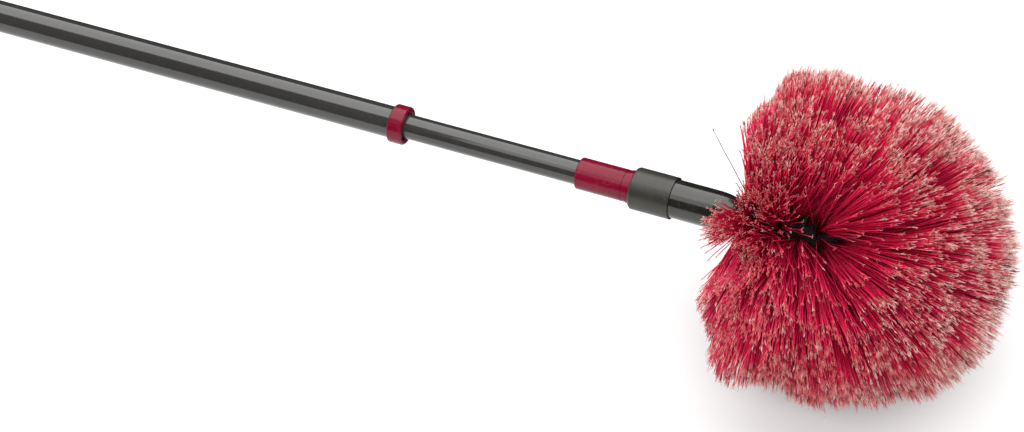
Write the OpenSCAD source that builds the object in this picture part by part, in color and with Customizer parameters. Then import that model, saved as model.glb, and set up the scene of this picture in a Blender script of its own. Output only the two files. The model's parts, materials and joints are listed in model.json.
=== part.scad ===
// Cobweb brush: a round bristle head on a two-section telescopic pole.
// It lies on the floor as it is put down: the head on its bristles, the grip end on its cap.
// +X runs along the floor towards the head, +Z is up, and the origin is the middle of the footprint.

/* [Outer pole] */
// Outside diameter of the outer tube
outer_d = 25; // [24:0.5:28]
// Wall of the outer tube
outer_wall = 0.8; // [0.6:0.1:1]
// Length of the outer tube
outer_len = 800; // [600:10:1100]
// How far the tube's mouth is drawn in under the collar, on the radius
mouth_relief = 0.3; // [0.2:0.05:0.35]

/* [Hang cap] */
// Length of the cap's plug inside the tube
cap_plug_len = 25; // [15:1:35]
// Thickness of the cap's flange
cap_flange_t = 3; // [2:0.5:5]
// How far the flange stays inside the tube's outside, on the radius
cap_relief = 0.25; // [0.2:0.05:0.5]
// Width of the hanging tab
tab_w = 20; // [16:1:21]
// Thickness of the hanging tab
tab_t = 9; // [6:0.5:11]
// Distance from the flange to the middle of the hanging hole
tab_reach = 16; // [14:1:24]
// Diameter of the hanging hole
hang_hole_d = 9; // [6:0.5:11]

/* [End collar and guide] */
// Outside diameter of the end collar
collar_d = 30.5; // [30:0.5:36]
// Length of the collar's skirt over the tube
collar_skirt = 8; // [5:1:14]
// How far the collar reaches past the tube's mouth
collar_lip = 4; // [3:0.5:6]
// Diameter of the collar's opening
collar_mouth_d = 22; // [21.5:0.5:23.5]
// Radius of the collar's rounded edges
collar_round = 1.4; // [0.5:0.1:1.6]
// Thickness of the guide bush's flange
bush_flange_t = 1.5; // [1:0.5:2]
// Length of the guide bush inside the tube
bush_len = 28; // [15:1:45]

/* [Inner pole] */
// Outside diameter of the inner tube
inner_d = 19.5; // [18:0.5:19.5]
// Wall of the inner tube
inner_wall = 0.8; // [0.6:0.1:1]
// How much shorter the inner tube is than the outer one
inner_setback = 40; // [30:5:80]
// Length of inner tube that shows between the collar and the ferrule
exposed_len = 145; // [5:5:500]

/* [Twist lock] */
// Length of the cam plug's shank inside the inner tube
shank_len = 28; // [20:1:45]
// Thickness of the cam plug's flange
plug_flange_t = 3; // [2:0.5:5]
// Diameter of the cam journal
journal_d = 12; // [10:0.5:12.5]
// Length of the cam journal
journal_len = 16; // [10:1:24]
// How far the journal stands off the pole's axis
cam_throw = 1; // [0.4:0.1:1.2]
// Width of the lock ring's split
ring_split = 2; // [1:0.5:4]
// Diameter of the retainer disc
disc_d = 21; // [19:0.5:22]
// Thickness of the retainer disc
disc_t = 2.5; // [1.5:0.5:4]
// Diameter of the retainer screw
screw_d = 4; // [3:0.5:5]
// Length of the retainer screw under its head
screw_len = 14; // [10:1:17]
// Diameter of the retainer screw's head
screw_head_d = 7.5; // [7:0.5:9]
// Height of the retainer screw's head
screw_head_t = 2.5; // [2:0.5:4]
// Width of the slot in the screw's head
screw_slot_w = 1; // [0.6:0.2:1.4]
// Depth of the slot in the screw's head
screw_slot_t = 1.2; // [0.6:0.2:1.6]
// Diameter of the cross pin that holds the plug in the tube
pin_d = 3; // [2:0.5:4]

/* [Ferrule and thread] */
// Diameter of the ferrule
ferrule_d = 25; // [24:0.5:26]
// Length of the ferrule, up to the washer
ferrule_len = 42; // [36:1:60]
// Length of tube held in the ferrule
ferrule_grip = 32; // [20:1:34]
// Chamfer of the ferrule's rear end
ferrule_chamfer = 1.6; // [0.5:0.1:2]
// Distance from the ferrule's front to its groove
groove_back = 3; // [1.5:0.5:5]
// Width of the ferrule's groove
groove_w = 1; // [0.5:0.25:1.5]
// Depth of the ferrule's groove
groove_t = 0.6; // [0.3:0.1:1]
// Diameter of the washer on the thread
washer_d = 26; // [25.5:0.5:27]
// Thickness of the washer on the thread
washer_t = 3.5; // [2:0.5:5]
// Diameter over the thread
thread_d = 21; // [20:0.5:21.5]
// Depth of the thread
thread_depth = 1.2; // [0.8:0.1:1.5]
// Pitch of the thread, right-handed
thread_pitch = 5; // [4:0.5:6]
// Length of the threaded tip past the ferrule
tip_len = 26; // [22:1:27]

/* [Socket and neck] */
// Diameter of the sleeve over the socket
sleeve_d = 33; // [32:0.5:38]
// Length of the sleeve
sleeve_len = 33; // [32:1:45]
// Radius of the sleeve's rounded rear edge
sleeve_round = 2; // [1:0.25:2.5]
// Diameter of the socket tube inside the sleeve
socket_d = 27; // [26:0.5:28]
// Depth of the socket for the threaded tip
socket_depth = 24; // [24:0.5:26]
// Diameter of the neck in front of the sleeve
neck_d = 30; // [29:0.5:31.5]
// Length of the neck, from the sleeve to the waist
neck_len = 58; // [45:1:80]
// Length over which the neck rounds in to the waist
neck_taper = 27; // [18:1:40]
// Diameter of the waist between neck and core
waist_d = 16; // [14:0.5:20]

/* [Core and stem] */
// Greatest diameter of the core
core_d = 39; // [36:0.5:46]
// Length of the core, from the waist to its nose
core_len = 108; // [100:1:125]
// Bluntness of the core and of the neck's end: 2 is an ellipse
bluntness = 2.3; // [2.1:0.1:2.6]
// Diameter of the stem bolt
bolt_d = 6; // [5:0.5:7]
// Distance across the flats of the bolt's head and nut
bolt_flats = 10; // [9:0.5:11]
// Height of the bolt's head
bolt_head_t = 4; // [3:0.5:5]
// Thickness of the stem washer
stem_washer_t = 1.2; // [0.8:0.2:2]
// Diameter of the stem washer
stem_washer_d = 12.5; // [12:0.5:14]
// Thickness of the stem nut
nut_t = 4.5; // [3:0.5:5]
// How far the bolt stands out of its nut
bolt_proud = 1.5; // [0.5:0.5:2]

/* [Bristles] */
// Diameter of the bristle ball
ball_d = 250; // [200:5:280]
// Distance from the waist to the middle of the ball
ball_ahead = 84; // [70:1:95]
// Rows of strands from the rear of the ball to its nose
row_count = 18; // [16:1:19]
// Distance between strands at their tips
strand_pitch = 20; // [20:0.5:24]
// Angle of the ball's rearmost edge from its nose
ball_sweep = 165; // [150:1:168]
// Radius of a strand where it leaves the core
strand_root = 0.8; // [0.5:0.1:0.9]
// Radius of a strand where it is widest
strand_wide = 2.9; // [1.5:0.1:3.5]
// How much shorter every other strand is
strand_step = 5; // [0:0.5:8]
// How deep a strand sits in the core
strand_seat = 1.6; // [1.2:0.1:2]
// How much is cut flat off the strands that the head lies on
floor_cut = 0.5; // [0.3:0.1:0.5]

/* [Clearances] */
// Gap between pieces that are pressed together, on the radius
seat_gap = 0.05; // [0.02:0.01:0.1]
// Gap between pieces that slide or turn, on the radius
run_gap = 0.3; // [0.3:0.05:0.4]
// Gap between the bolt and its holes, on the radius
bolt_gap = 0.1; // [0.05:0.05:0.2]

/* [Hidden] */
$fn = 64;
RING_NAMES = [for (i = [1:8]) str("tuft_ring_", i)];

crimson = "#96142d";
pole_grey = "#4b4b4b";
sleeve_grey = "#565650";
neck_grey = "#33322f";
nylon = "#d8d4c6";
bush_black = "#1c1c1c";
steel = "#b4b6b8";

// Places along the pole's axis, counted from the rear end of the outer tube
outer_r = outer_d / 2;
outer_bore_r = outer_r - outer_wall;
mouth_r = outer_r - mouth_relief;
inner_r = inner_d / 2;
inner_bore_r = inner_r - inner_wall;
inner_len = outer_len - inner_setback;
collar_front = outer_len + collar_lip;
ferrule_rear = collar_front + exposed_len;
ferrule_front = ferrule_rear + ferrule_len;
inner_front = ferrule_rear + ferrule_grip;
inner_rear = inner_front - inner_len;
journal_front = inner_rear - plug_flange_t;
journal_rear = journal_front - journal_len;
disc_rear = journal_rear - disc_t;
journal_r = journal_d / 2;
pin_at = inner_rear + shank_len / 2;
sleeve_rear = ferrule_front + washer_t;
sleeve_front = sleeve_rear + sleeve_len;
waist = sleeve_front + neck_len;
waist_r = waist_d / 2;
ferrule_r = ferrule_d / 2;
thread_r = thread_d / 2;
thread_root_r = thread_r - thread_depth;
socket_floor = sleeve_rear + socket_depth;
bolt_r = bolt_d / 2;
bolt_head_seat = socket_floor + bolt_head_t + bolt_gap;
stem_start = bolt_head_seat + stem_washer_t;

// Blunt round shape shared by the neck's end and the core, as radius over distance from the widest place
function blunt(share) = pow(1 - pow(share, bluntness), 1 / bluntness);
core_r = core_d / 2;
core_waist_share = blunt(waist_r / core_r);
core_half = core_len / (1 + core_waist_share);
core_belly = waist + core_half * core_waist_share;
neck_r = neck_d / 2;
neck_waist_share = blunt(waist_r / neck_r);

// Core outline by angle: 0 is the nose, 180 the far end that the waist cuts off
function core_at(b) = core_belly + core_half * sign(cos(b)) * pow(abs(cos(b)), 2 / bluntness);
function core_out(b) = core_r * pow(sin(b), 2 / bluntness);
core_rear_angle = 180 - acos(pow(core_waist_share, bluntness / 2));

// Bristle ball: rows of strands by their angle from the nose
ball_r = ball_d / 2;
ball_at = waist + ball_ahead;
root_rear_gap = 5;
function tip_angle(row) = ball_sweep * (1 - (row + 0.5) / row_count);
function root_angle(row) = tip_angle(row) * (core_rear_angle - root_rear_gap) / tip_angle(0);
function row_strands(row) = max(4, round(2 * PI * ball_r * sin(tip_angle(row)) / strand_pitch));
function turn(row, k) = (k + 0.5) * 360 / row_strands(row);
function reach(row, k) = ball_r - (min(k, row_strands(row) - 1 - k) % 2) * strand_step;
function tip_out(row, k) = reach(row, k) * sin(tip_angle(row));
function tip_at(row, k) = ball_at + reach(row, k) * cos(tip_angle(row));

// Rows that share one slice of the core; the nose slice takes the rows that are left
rows_per_ring = 2;
ring_count = len(RING_NAMES);
function ring_first(ring) = ring * rows_per_ring;
function ring_last(ring) = ring == ring_count - 1 ? row_count - 1 : ring_first(ring) + rows_per_ring - 1;
function joint_angle(row) = (root_angle(row) + root_angle(row - 1)) / 2;
function slice_rear(ring) = ring == 0 ? core_rear_angle : joint_angle(ring_first(ring));
function slice_front(ring) = ring == ring_count - 1 ? 0 : joint_angle(ring_last(ring) + 1);
nut_rear = core_at(slice_rear(ring_count - 1));
bolt_front = nut_rear + nut_t + bolt_proud;

// Slope of the pole: the lowest edge at the grip end and the lowest strands both meet the floor
cap_edge = -cap_flange_t;
cap_r = outer_r - cap_relief;
FEET = [[cap_r, cap_edge], [outer_r, 0]];
function slope_on(foot, head_r) =
    let (ahead = ball_at - foot[1])
    asin((head_r - floor_cut) / norm([ahead, foot[0]])) - atan2(foot[0], ahead);
function slope_for(head_r) = min([for (foot = FEET) slope_on(foot, head_r)]);
function lowest_reach(a) = max([
    for (row = [0:row_count - 1])
        tip_out(row, 0) * cos(turn(row, 0)) * cos(a) - (tip_at(row, 0) - ball_at) * sin(a)
]);
slope_guess = slope_for(lowest_reach(slope_for(ball_r)));
slope = slope_for(lowest_reach(slope_guess));
lift = max([for (foot = FEET) foot[0] * cos(slope) - foot[1] * sin(slope)]);
tab_mid = cap_edge - tab_reach;
tab_r = tab_w / 2;
x_low = tab_mid * cos(slope) - tab_r;
x_high = max([
    for (row = [0:row_count - 1], k = [0:row_strands(row) - 1])
        tip_at(row, k) * cos(slope) + tip_out(row, k) * cos(turn(row, k)) * sin(slope)
]);
shift = -(x_low + x_high) / 2;

// Puts a piece made along +Z from the outer tube's rear end into its place on the floor
module on_floor() {
    translate([shift, 0, lift]) rotate([0, 90 - slope, 0]) children();
}

// Round bar or hole between two places on the axis
module round_bar(r, from, to) {
    translate([0, 0, from]) cylinder(r = r, h = to - from);
}

// Tube between two places on the axis
module pipe(r, bore_r, from, to) {
    translate([0, 0, from]) rotate_extrude()
        polygon([[bore_r, 0], [r, 0], [r, to - from], [bore_r, to - from]]);
}

// Points of a quarter round in an outline, from one angle to the other
function arc(out, along, r, from, to) = [
    for (i = [0:6]) [out + r * cos(from + (to - from) * i / 6), along + r * sin(from + (to - from) * i / 6)]
];

module outer_tube() {
    mouth_start = outer_len - collar_skirt;
    color(pole_grey) on_floor() rotate_extrude() polygon([
        [outer_bore_r, 0],
        [outer_r, 0],
        [outer_r, mouth_start],
        [mouth_r, mouth_start],
        [mouth_r, outer_len],
        [outer_bore_r, outer_len]
    ]);
}

// Plug and flange that close the grip end, with a flat tab to hang the brush by
module hang_cap() {
    color(bush_black) on_floor() difference() {
        union() {
            round_bar(outer_bore_r - seat_gap, 0, cap_plug_len);
            round_bar(cap_r, cap_edge, 0);
            rotate([90, 0, 0]) linear_extrude(tab_t, center = true) {
                translate([0, tab_mid]) circle(r = tab_r);
                translate([-tab_r, tab_mid]) square([tab_w, tab_reach + cap_flange_t / 2]);
            }
        }
        translate([0, 0, tab_mid]) rotate([90, 0, 0])
            cylinder(d = hang_hole_d, h = tab_t + 2, center = true);
    }
}

// Coloured ring on the mouth of the outer tube, with a rounded lip
module end_collar() {
    r = collar_d / 2;
    mouth = collar_mouth_d / 2;
    skirt_bore = mouth_r + seat_gap;
    rear = outer_len - collar_skirt;
    ledge = outer_len + bush_flange_t;
    color(crimson) on_floor() rotate_extrude() polygon(concat(
        [[skirt_bore, ledge], [skirt_bore, rear]],
        arc(r - collar_round, rear + collar_round, collar_round, -90, 0),
        arc(r - collar_round, collar_front - collar_round, collar_round, 0, 90),
        arc(mouth + collar_round / 2, collar_front - collar_round / 2, collar_round / 2, 90, 180),
        [[mouth, ledge]]
    ));
}

// Bush in the tube's mouth that the inner tube slides in
module guide_bush() {
    bore = inner_r + run_gap;
    color(bush_black) on_floor() rotate_extrude() polygon([
        [bore, outer_len - bush_len],
        [outer_bore_r - seat_gap, outer_len - bush_len],
        [outer_bore_r - seat_gap, outer_len],
        [mouth_r, outer_len],
        [mouth_r, outer_len + bush_flange_t],
        [bore, outer_len + bush_flange_t]
    ]);
}

// Hole for the cross pin, through tube and plug
module pin_hole(gap) {
    translate([0, 0, pin_at]) rotate([90, 0, 0])
        cylinder(r = pin_d / 2 + gap, h = inner_d + 2, center = true);
}

module inner_tube() {
    color(pole_grey) on_floor() difference() {
        pipe(inner_r, inner_bore_r, inner_rear, inner_front);
        pin_hole(seat_gap);
    }
}

// Plug in the rear end of the inner tube; its off-centre journal spreads the lock ring
module cam_plug() {
    color(nylon) on_floor() difference() {
        union() {
            round_bar(inner_bore_r - seat_gap, inner_rear, inner_rear + shank_len);
            round_bar(inner_r, journal_front, inner_rear);
            translate([cam_throw, 0, 0]) round_bar(journal_r, journal_rear, journal_front);
        }
        pin_hole(seat_gap);
        round_bar(screw_d / 2 + seat_gap, journal_rear - 1, journal_rear + screw_len - disc_t + 1);
    }
}

module plug_pin() {
    color(steel) on_floor() translate([0, 0, pin_at]) rotate([90, 0, 0])
        cylinder(r = pin_d / 2, h = inner_d - run_gap, center = true);
}

// Split ring that the cam presses against the outer tube
module lock_ring() {
    r = outer_bore_r - run_gap;
    bore = journal_r + cam_throw + run_gap;
    color(nylon) on_floor() difference() {
        pipe(r, bore, journal_rear + run_gap, journal_front - run_gap);
        translate([-r - 1, -ring_split / 2, journal_rear - 1]) cube([r, ring_split, journal_len + 2]);
    }
}

// Disc that keeps the lock ring on the journal
module retainer_disc() {
    color(steel) on_floor() pipe(disc_d / 2, screw_d / 2 + seat_gap, disc_rear, journal_rear);
}

module retainer_screw() {
    head_rear = disc_rear - screw_head_t;
    color(steel) on_floor() difference() {
        union() {
            round_bar(screw_head_d / 2, head_rear, disc_rear);
            round_bar(screw_d / 2, head_rear, disc_rear + screw_len);
        }
        translate([-screw_head_d, -screw_slot_w / 2, head_rear - 1])
            cube([2 * screw_head_d, screw_slot_w, screw_slot_t + 1]);
    }
}

// One ridge that winds round the threaded tip, as a swept four-sided section
module thread_ridge(from, to) {
    steps_per_turn = 24;
    bite = 0.5;
    foot = thread_pitch * 0.36;
    crest = thread_pitch * 0.14;
    steps = floor((to - from - 2 * foot) / thread_pitch * steps_per_turn);
    section = [
        [thread_root_r - bite, -foot],
        [thread_r, -crest],
        [thread_r, crest],
        [thread_root_r - bite, foot]
    ];
    points = [
        for (i = [0:steps], p = section)
            let (a = 360 * i / steps_per_turn)
            [p[0] * cos(a), p[0] * sin(a), from + foot + p[1] + thread_pitch * i / steps_per_turn]
    ];
    sides = [
        for (i = [0:steps - 1], s = [0:3])
            let (low = 4 * i + s, next = 4 * i + (s + 1) % 4)
            each [[low, next, low + 4], [next, next + 4, low + 4]]
    ];
    last = 4 * steps;
    polyhedron(points, concat(sides, [[3, 2, 1, 0], [last, last + 1, last + 2, last + 3]]));
}

// Coloured end piece of the inner tube, with the threaded tip for the head
module ferrule() {
    groove_front = ferrule_front - groove_back;
    groove_rear = groove_front - groove_w;
    tip_front = ferrule_front + tip_len;
    tip_chamfer = 1.5;
    grip_bore = inner_r + seat_gap;
    color(crimson) on_floor() union() {
        rotate_extrude() polygon(concat(
            [[0, inner_front], [grip_bore, inner_front], [grip_bore, ferrule_rear]],
            arc(ferrule_r - ferrule_chamfer, ferrule_rear + ferrule_chamfer, ferrule_chamfer, -90, 0),
            [
                [ferrule_r, groove_rear],
                [ferrule_r - groove_t, groove_rear],
                [ferrule_r - groove_t, groove_front],
                [ferrule_r, groove_front],
                [ferrule_r, ferrule_front],
                [thread_root_r, ferrule_front],
                [thread_root_r, tip_front - tip_chamfer],
                [thread_root_r - tip_chamfer, tip_front],
                [0, tip_front]
            ]
        ));
        thread_ridge(ferrule_front + washer_t, tip_front - tip_chamfer);
    }
}

// Loose ring on the thread that the head is screwed down on
module thread_washer() {
    color(crimson) on_floor()
        pipe(washer_d / 2, thread_r + run_gap, ferrule_front, ferrule_front + washer_t);
}

// Cover tube over the socket, with a rounded rear edge
module socket_sleeve() {
    r = sleeve_d / 2;
    bore = socket_d / 2 + seat_gap;
    color(sleeve_grey) on_floor() rotate_extrude() polygon(concat(
        [[bore, sleeve_front], [bore, sleeve_rear]],
        arc(r - sleeve_round, sleeve_rear + sleeve_round, sleeve_round, -90, 0),
        [[r, sleeve_front]]
    ));
}

// Socket tube, glossy neck and its rounded end, in one moulding
module neck() {
    taper_start = waist - neck_taper;
    taper_half = neck_taper / neck_waist_share;
    steps = 12;
    taper = [
        for (i = [0:steps])
            let (along = neck_taper * (1 - pow(1 - i / steps, 1.6)))
            [neck_r * blunt(along / taper_half), taper_start + along]
    ];
    color(neck_grey) on_floor() difference() {
        rotate_extrude() polygon(concat(
            [
                [0, sleeve_rear],
                [socket_d / 2, sleeve_rear],
                [socket_d / 2, sleeve_front],
                [neck_r, sleeve_front]
            ],
            taper,
            [[0, waist]]
        ));
        round_bar(thread_r + run_gap, sleeve_rear - 1, socket_floor);
        round_bar(stem_washer_d / 2 + bolt_gap, socket_floor - 1, stem_start);
        round_bar(bolt_r + bolt_gap, stem_start - 1, waist + 1);
    }
}

// Six-sided bar, by the distance across its flats
module hex_bar(flats, from, to) {
    translate([0, 0, from]) cylinder(d = flats / cos(30), h = to - from, $fn = 6);
}

// Long bolt that draws the core onto the neck
module stem_bolt() {
    color(steel) on_floor() union() {
        hex_bar(bolt_flats, bolt_head_seat - bolt_head_t, bolt_head_seat);
        round_bar(bolt_r, bolt_head_seat - bolt_head_t / 2, bolt_front);
    }
}

module stem_washer() {
    color(steel) on_floor() pipe(stem_washer_d / 2, bolt_r + bolt_gap, bolt_head_seat, stem_start);
}

module stem_nut() {
    color(steel) on_floor() difference() {
        hex_bar(bolt_flats, nut_rear, nut_rear + nut_t);
        round_bar(bolt_r + bolt_gap, nut_rear - 1, nut_rear + nut_t + 1);
    }
}

// Three-sided strand from its seat in the core to its pointed tip, bowed a little to one side
module strand(row, k) {
    a = turn(row, k);
    b = root_angle(row);
    root = [core_out(b), core_at(b)];
    tip = [tip_out(row, k), tip_at(row, k)];
    way = (tip - root) / norm(tip - root);
    side = [-way[1], way[0]];
    bow = (k % 2 == 0 ? 1 : -1) * strand_root;
    stations = [
        [root - strand_seat * way, strand_root, 0],
        [root + (tip - root) * 0.45, (strand_root + strand_wide) / 2, bow],
        [root + (tip - root) * 0.82, strand_wide, 0]
    ];
    points = concat(
        [
            for (s = stations, i = [0:2])
                let (
                    out = s[0][0] + s[1] * cos(120 * i) * side[0],
                    along = s[0][1] + s[1] * cos(120 * i) * side[1],
                    across = s[1] * sin(120 * i) + s[2]
                )
                [out * cos(a) - across * sin(a), out * sin(a) + across * cos(a), along]
        ],
        [[tip[0] * cos(a), tip[0] * sin(a), tip[1]]]
    );
    faces = concat(
        [[0, 2, 1]],
        [
            for (s = [0:1], i = [0:2])
                let (low = 3 * s + i, next = 3 * s + (i + 1) % 3)
                each [[low, next, low + 3], [next, next + 3, low + 3]]
        ],
        [for (i = [0:2]) [6 + i, 6 + (i + 1) % 3, 9]]
    );
    polyhedron(points, faces);
}

// Slice of the core between two places on its outline, with the stem's hole or the nut's pocket
module core_slice(ring) {
    nose = ring == ring_count - 1;
    rear = slice_rear(ring);
    front = slice_front(ring);
    steps = 10;
    outline = [
        for (i = [0:steps])
            let (b = rear + (front - rear) * i / steps)
            [core_out(b), core_at(b)]
    ];
    difference() {
        rotate_extrude() polygon(nose
            ? concat([[0, core_at(rear)]], outline)
            : concat([[0, core_at(rear)]], outline, [[0, core_at(front)]]));
        if (nose) {
            hex_bar(bolt_flats + 2 * bolt_gap, nut_rear - 1, nut_rear + nut_t);
            round_bar(bolt_r + bolt_gap, nut_rear, bolt_front);
        } else {
            round_bar(bolt_r + bolt_gap, core_at(rear) - 1, core_at(front) + 1);
        }
    }
}

// Strands of a few rows, standing in their slice of the core and cut flat at the floor
module tuft_ring(ring) {
    below = ball_d;
    color(crimson) difference() {
        on_floor() union() {
            core_slice(ring);
            for (row = [ring_first(ring):ring_last(ring)], k = [0:row_strands(row) - 1]) strand(row, k);
        }
        translate([-ball_d + shift + ball_at, -ball_d, -below]) cube([2 * ball_d, 2 * ball_d, below]);
    }
}

outer_tube();
hang_cap();
end_collar();
guide_bush();
lock_ring();
inner_tube();
cam_plug();
plug_pin();
retainer_disc();
retainer_screw();
ferrule();
thread_washer();
socket_sleeve();
neck();
stem_bolt();
stem_washer();
stem_nut();
for (i = [0:ring_count - 1]) tuft_ring(i);
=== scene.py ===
import json
import logging
import math
from dataclasses import dataclass, field
from enum import Enum
from functools import cached_property

import bpy
import numpy as np
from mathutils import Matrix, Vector


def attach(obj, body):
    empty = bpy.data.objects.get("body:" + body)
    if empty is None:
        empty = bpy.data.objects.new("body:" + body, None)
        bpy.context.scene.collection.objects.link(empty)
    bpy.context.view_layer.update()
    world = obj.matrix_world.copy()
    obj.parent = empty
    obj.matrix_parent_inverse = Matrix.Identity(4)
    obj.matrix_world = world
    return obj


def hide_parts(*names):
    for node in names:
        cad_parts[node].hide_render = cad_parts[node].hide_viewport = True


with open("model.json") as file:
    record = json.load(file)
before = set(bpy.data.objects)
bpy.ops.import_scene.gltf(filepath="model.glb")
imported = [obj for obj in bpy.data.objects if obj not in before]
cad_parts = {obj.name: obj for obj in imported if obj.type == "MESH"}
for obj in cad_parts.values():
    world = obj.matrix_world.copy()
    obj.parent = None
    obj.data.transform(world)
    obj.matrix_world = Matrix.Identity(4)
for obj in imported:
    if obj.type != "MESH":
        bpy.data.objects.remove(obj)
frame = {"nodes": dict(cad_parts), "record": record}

LOG = logging.getLogger("cobweb_brush")
MM = 0.001
HEAD_BODY = "brush_head"
FLOAT = "NodeSocketFloat"

# Turn between neighbours that spreads them evenly, in degrees
GOLDEN_ANGLE = 137.508
# Strands have a triangle for their section
STRAND_SIDES = 3
# Length below which a direction isn't scaled up to one
TINY = 1e-9
# Mottle values at which a finish is darkest and lightest
MOTTLE_ENDS = (0.3, 0.7)

Colour = tuple[float, float, float]
Pair = tuple[float, float]
Triple = tuple[float, float, float]


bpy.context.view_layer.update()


def unit(ways: np.ndarray) -> np.ndarray:
    """Return directions at length one."""
    return ways / np.linalg.norm(ways, axis=-1, keepdims=True)


def square_pair(way: np.ndarray, other: np.ndarray) -> tuple[np.ndarray, np.ndarray]:
    """Return two directions square to each unit way and to each other, the first also to another one."""
    first = unit(np.cross(way, other))
    return first, np.cross(way, first)


def circle(sides: int, first: np.ndarray, second: np.ndarray) -> np.ndarray:
    """Return directions spaced evenly round each circle, from its first direction towards its second."""
    turn = np.linspace(0, 2 * np.pi, sides, endpoint=False)[:, None]
    return np.cos(turn) * first[..., None, :] + np.sin(turn) * second[..., None, :]


def tube_quads(rings: int, sides: int) -> np.ndarray:
    """Return the faces between rings of points that are stored one ring after the other.

    Args:
        rings: How many rings there are.
        sides: How many points each ring has.

    Returns:
        Point numbers, four to a face.
    """
    ring, side = np.meshgrid(np.arange(rings - 1), np.arange(sides), indexing="ij")
    low = ring * sides + side
    low_next = ring * sides + (side + 1) % sides
    return np.stack([low, low_next, low_next + sides, low + sides], -1).reshape(-1, 4)


class Slot(Enum):
    """Material slots that the record names."""

    POLE_PAINT = "pole_paint"
    CRIMSON = "crimson_plastic"
    BLACK = "black_plastic"
    NYLON = "nylon"
    STEEL = "steel"
    SLEEVE = "sleeve_plastic"
    NECK = "neck_plastic"
    BRISTLE = "bristle"


Dressing = tuple[tuple[Slot, tuple[str, ...]], ...]


@dataclass
class PoleLine:
    """The pole's axis in the frame, with places counted in millimetres from the outer tube's rear end."""

    ferrule_front: float = 991.0

    def __post_init__(self) -> None:
        """Read the axis and one known place on it from the head's joint."""
        joint = next(j for j in frame["record"]["behaviour"]["joints"] if j["name"] == "head_unscrew")
        self.along = np.array(joint["axis"], float)
        self.side = np.array([0.0, 1.0, 0.0])
        self.up = np.cross(self.along, self.side)
        self.known = np.array(joint["pos_m"], float)

    def place(self, u: np.ndarray, out: np.ndarray) -> np.ndarray:
        """Return points in metres for places along the pole and offsets from it, both in millimetres."""
        return self.known + (np.asarray(u)[..., None] - self.ferrule_front) * MM * self.along + out * MM

    def spoke(self, turn: np.ndarray) -> np.ndarray:
        """Return unit directions square to the pole for turn angles in degrees."""
        a = np.radians(turn)
        return np.cos(a)[:, None] * self.up + np.sin(a)[:, None] * self.side

    def way(self, angle: float, turn: float) -> np.ndarray:
        """Return the unit direction at an angle from the nose and a turn about the pole, in degrees."""
        a = math.radians(angle)
        return math.cos(a) * self.along + math.sin(a) * self.spoke(np.array([turn]))[0]

    def near(self, at: Triple) -> np.ndarray:
        """Return the point at a place along the pole, a distance from its axis and a turn about it."""
        return self.place(np.array(at[0]), at[1] * self.spoke(np.array([at[2]]))[0])


class NodeBench:
    """Makes and joins shader nodes in one node tree."""

    # Numbers of the mixing node's sockets for colours
    MIX_FACTOR, MIX_FIRST, MIX_SECOND, MIX_RESULT = 0, 6, 7, 2

    def __init__(self, tree: bpy.types.NodeTree) -> None:
        """Keep the tree that the nodes go in."""
        self.tree = tree

    def add(self, kind: str, **values: object) -> bpy.types.Node:
        """Add a node and set its properties and inputs.

        Args:
            kind: Node type name without its ShaderNode prefix.
            **values: Properties by name, or inputs by name with spaces as underscores.

        Returns:
            The node.
        """
        node = self.tree.nodes.new(kind if kind.startswith("Node") else "ShaderNode" + kind)
        for name, value in values.items():
            if hasattr(node, name):
                setattr(node, name, value)
            else:
                self.feed(node.inputs[name.replace("_", " ")], value)
        return node

    def feed(self, socket: bpy.types.NodeSocket, value: object) -> None:
        """Join a socket to another one, or set its value.

        Args:
            socket: Input socket that is fed.
            value: Output socket to join to it, or its new value.
        """
        if isinstance(value, bpy.types.NodeSocket):
            self.tree.links.new(value, socket)
        else:
            socket.default_value = value

    def ramp(self, factor: bpy.types.NodeSocket, *stops: tuple[float, Colour]) -> bpy.types.NodeSocket:
        """Add a colour ramp.

        Args:
            factor: Socket that drives it.
            *stops: Places from 0 to 1, each with a linear colour.

        Returns:
            The ramp's colour socket.
        """
        node = self.add("ValToRGB")
        marks = node.color_ramp.elements
        while len(marks) < len(stops):
            marks.new(0.5)
        for mark, (at, colour) in zip(marks, stops):
            mark.position = at
            mark.color = (*colour, 1.0)
        self.feed(node.inputs["Fac"], factor)
        return node.outputs["Color"]

    def mix(self, factor: object, first: object, second: object, blend: str = "MIX") -> bpy.types.NodeSocket:
        """Blend two colours.

        Args:
            factor: How much of the second colour, as a socket or a number.
            first: First colour, as a socket or a value.
            second: Second colour, as a socket or a value.
            blend: How they blend.

        Returns:
            The result's socket.
        """
        node = self.add("Mix", data_type="RGBA", blend_type=blend)
        self.feed(node.inputs[self.MIX_FACTOR], factor)
        self.feed(node.inputs[self.MIX_FIRST], first)
        self.feed(node.inputs[self.MIX_SECOND], second)
        return node.outputs[self.MIX_RESULT]

    def maths(self, operation: str, first: object, second: object = 0.0) -> bpy.types.NodeSocket:
        """Do one step of arithmetic.

        Args:
            operation: Name of the step.
            first: First value, as a socket or a number.
            second: Second value, as a socket or a number.

        Returns:
            The result's socket.
        """
        node = self.add("Math", operation=operation)
        self.feed(node.inputs[0], first)
        self.feed(node.inputs[1], second)
        return node.outputs[0]


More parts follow.
